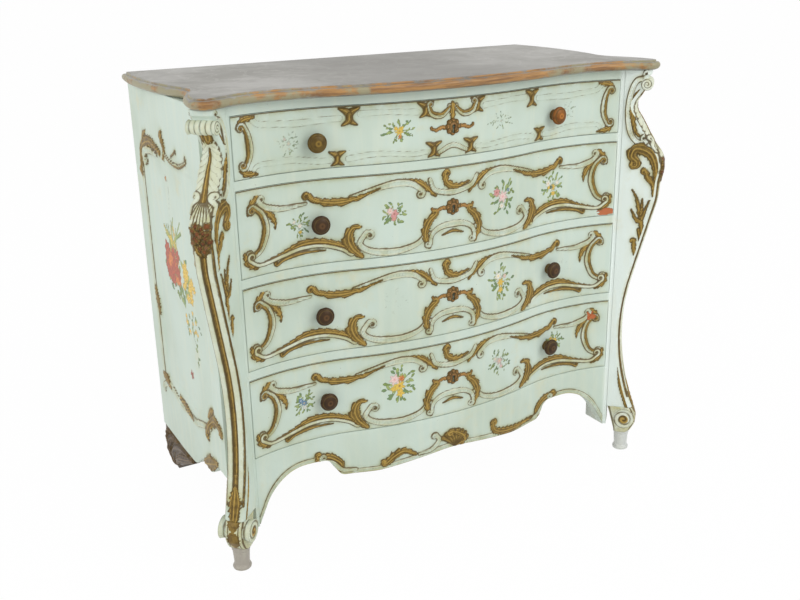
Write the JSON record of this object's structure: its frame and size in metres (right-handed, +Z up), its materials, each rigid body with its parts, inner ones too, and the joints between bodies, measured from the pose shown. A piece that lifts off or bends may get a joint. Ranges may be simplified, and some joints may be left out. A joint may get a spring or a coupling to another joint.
{
  "type": "serpentine chest of drawers",
  "caption": "Painted serpentine chest of drawers with scrolled console pilasters across its front corners, shaped apron, round knobs and locks.",
  "frame": {"origin": "middle of the footprint of the whole chest, on the floor", "axes": "+Z up, front towards -Y, +X to the right of someone facing the front"},
  "size_m": [1.053, 0.5296, 0.9],
  "materials": {
    "faux_marble": "worn painted faux marble, satin",
    "green_paint": "aged pale green paint with cream and gilding, satin",
    "knob_wood": "dark turned wood, satin",
    "old_brass": "dulled antique gold, satin",
    "raw_wood": "plain planed wood, matt",
    "lock_iron": "dull iron"
  },
  "bodies": {
    "case": {"top_board": "faux_marble", "top_rail": "green_paint", "divider_rail_1": "green_paint", "divider_rail_2": "green_paint", "divider_rail_3": "green_paint", "bottom_rail": "green_paint", "left_corner_pilaster": "green_paint", "right_corner_pilaster": "green_paint", "left_front_foot": "green_paint", "right_front_foot": "green_paint", "left_back_foot": "green_paint", "right_back_foot": "green_paint", "front_apron": "green_paint", "bottom_board": "raw_wood", "back_panel": "raw_wood", "left_front_post": "green_paint", "right_front_post": "green_paint", "left_side_panel": "green_paint", "right_side_panel": "green_paint", "left_back_post": "raw_wood", "right_back_post": "raw_wood", "drawer_runners": "raw_wood", "drawer_stops": "raw_wood", "glue_blocks": "raw_wood"},
    "drawer_1": {"drawer_1_front": "green_paint", "drawer_1_left_side": "raw_wood", "drawer_1_right_side": "raw_wood", "drawer_1_bottom": "raw_wood", "drawer_1_back": "raw_wood", "drawer_1_knobs": "knob_wood", "drawer_1_escutcheon": "old_brass", "drawer_1_lock_case": "lock_iron"},
    "bolt_1": {"drawer_1_lock_bolt": "lock_iron"},
    "drawer_2": {"drawer_2_front": "green_paint", "drawer_2_left_side": "raw_wood", "drawer_2_right_side": "raw_wood", "drawer_2_bottom": "raw_wood", "drawer_2_back": "raw_wood", "drawer_2_knobs": "knob_wood", "drawer_2_escutcheon": "old_brass", "drawer_2_lock_case": "lock_iron"},
    "bolt_2": {"drawer_2_lock_bolt": "lock_iron"},
    "drawer_3": {"drawer_3_front": "green_paint", "drawer_3_left_side": "raw_wood", "drawer_3_right_side": "raw_wood", "drawer_3_bottom": "raw_wood", "drawer_3_back": "raw_wood", "drawer_3_knobs": "knob_wood", "drawer_3_escutcheon": "old_brass", "drawer_3_lock_case": "lock_iron"},
    "bolt_3": {"drawer_3_lock_bolt": "lock_iron"},
    "drawer_4": {"drawer_4_front": "green_paint", "drawer_4_left_side": "raw_wood", "drawer_4_right_side": "raw_wood", "drawer_4_bottom": "raw_wood", "drawer_4_back": "raw_wood", "drawer_4_knobs": "knob_wood", "drawer_4_escutcheon": "old_brass", "drawer_4_lock_case": "lock_iron"},
    "bolt_4": {"drawer_4_lock_bolt": "lock_iron"}
  },
  "joints": [
    {"name": "drawer_1_slide", "type": "slide", "parent": "case", "child": "drawer_1", "axis": [0, -1, 0], "range_m": [0, 0.32]},
    {"name": "bolt_1_throw", "type": "slide", "parent": "drawer_1", "child": "bolt_1", "axis": [0, 0, 1], "range_m": [0, 0.008]},
    {"name": "drawer_2_slide", "type": "slide", "parent": "case", "child": "drawer_2", "axis": [0, -1, 0], "range_m": [0, 0.32]},
    {"name": "bolt_2_throw", "type": "slide", "parent": "drawer_2", "child": "bolt_2", "axis": [0, 0, 1], "range_m": [0, 0.008]},
    {"name": "drawer_3_slide", "type": "slide", "parent": "case", "child": "drawer_3", "axis": [0, -1, 0], "range_m": [0, 0.32]},
    {"name": "bolt_3_throw", "type": "slide", "parent": "drawer_3", "child": "bolt_3", "axis": [0, 0, 1], "range_m": [0, 0.008]},
    {"name": "drawer_4_slide", "type": "slide", "parent": "case", "child": "drawer_4", "axis": [0, -1, 0], "range_m": [0, 0.32]},
    {"name": "bolt_4_throw", "type": "slide", "parent": "drawer_4", "child": "bolt_4", "axis": [0, 0, 1], "range_m": [0, 0.008]}
  ]
}
